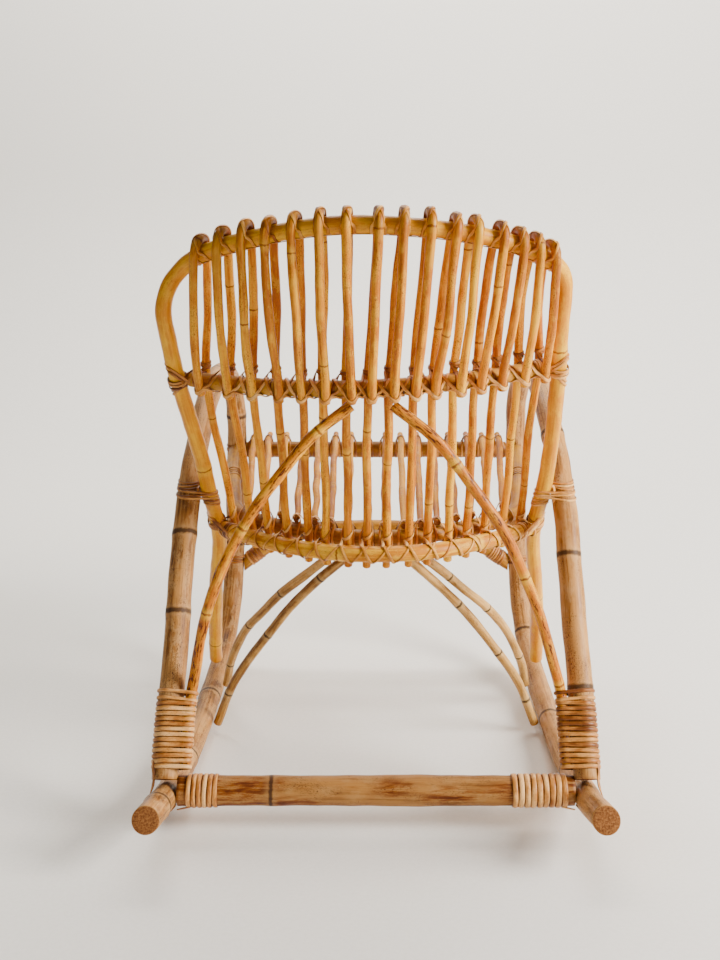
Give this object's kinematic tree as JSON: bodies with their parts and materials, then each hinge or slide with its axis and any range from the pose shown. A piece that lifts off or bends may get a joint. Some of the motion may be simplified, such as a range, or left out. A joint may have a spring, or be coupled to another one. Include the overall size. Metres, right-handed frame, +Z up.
{
  "type": "rocking chair",
  "caption": "Low rocking chair of bent rattan poles with hooped arms, a fan of hairpin rods over a rounded back, a slatted rod seat and cane bindings.",
  "frame": {"origin": "on the floor under the middle of the chair's bounding box", "axes": "+Z up, -Y the way the sitter faces, +X the sitter's left"},
  "size_m": [0.5758, 0.754, 0.7863],
  "materials": {
    "weathered_pole": "satin, weathered, speckled rattan skin",
    "golden_pole": "semi-gloss golden rattan skin with thin brown node rings",
    "honey_rod": "satin honey-coloured rattan rod with fine speckle",
    "spotted_rod": "satin golden rod with dark brown spots",
    "cane_peel": "split cane peel, satin"
  },
  "bodies": {
    "root": {"side_hoop_left": "weathered_pole", "side_hoop_right": "weathered_pole", "rear_crossbar": "weathered_pole", "back_hoop": "golden_pole", "back_mid_rail": "golden_pole", "back_lower_rail": "golden_pole", "back_rod_01": "honey_rod", "back_rod_02": "honey_rod", "back_rod_03": "honey_rod", "back_rod_04": "honey_rod", "back_rod_05": "honey_rod", "back_rod_06": "honey_rod", "back_rod_07": "honey_rod", "back_rod_08": "honey_rod", "back_rod_09": "honey_rod", "back_rod_10": "honey_rod", "back_rod_11": "honey_rod", "back_rod_12": "honey_rod", "back_rod_13": "honey_rod", "back_rod_14": "honey_rod", "back_rod_15": "honey_rod", "back_rod_16": "honey_rod", "seat_frame": "golden_pole", "seat_front_rail": "golden_pole", "front_stretcher": "weathered_pole", "seat_rod_01": "honey_rod", "seat_rod_02": "honey_rod", "seat_rod_03": "honey_rod", "seat_rod_04": "honey_rod", "seat_rod_05": "honey_rod", "seat_rod_06": "honey_rod", "seat_rod_07": "honey_rod", "seat_rod_08": "honey_rod", "seat_rod_09": "honey_rod", "seat_rod_10": "honey_rod", "seat_rod_11": "honey_rod", "seat_rod_12": "honey_rod", "seat_rod_13": "honey_rod", "seat_rod_14": "honey_rod", "seat_rod_15": "honey_rod", "seat_rod_16": "honey_rod", "rear_brace_left": "spotted_rod", "seat_brace_outer_left": "golden_pole", "seat_brace_inner_left": "golden_pole", "rear_brace_right": "spotted_rod", "seat_brace_outer_right": "golden_pole", "seat_brace_inner_right": "golden_pole", "foot_binding_left": "cane_peel", "foot_binding_right": "cane_peel", "crossbar_binding_left": "cane_peel", "crossbar_binding_right": "cane_peel"}
  },
  "joints": []
}
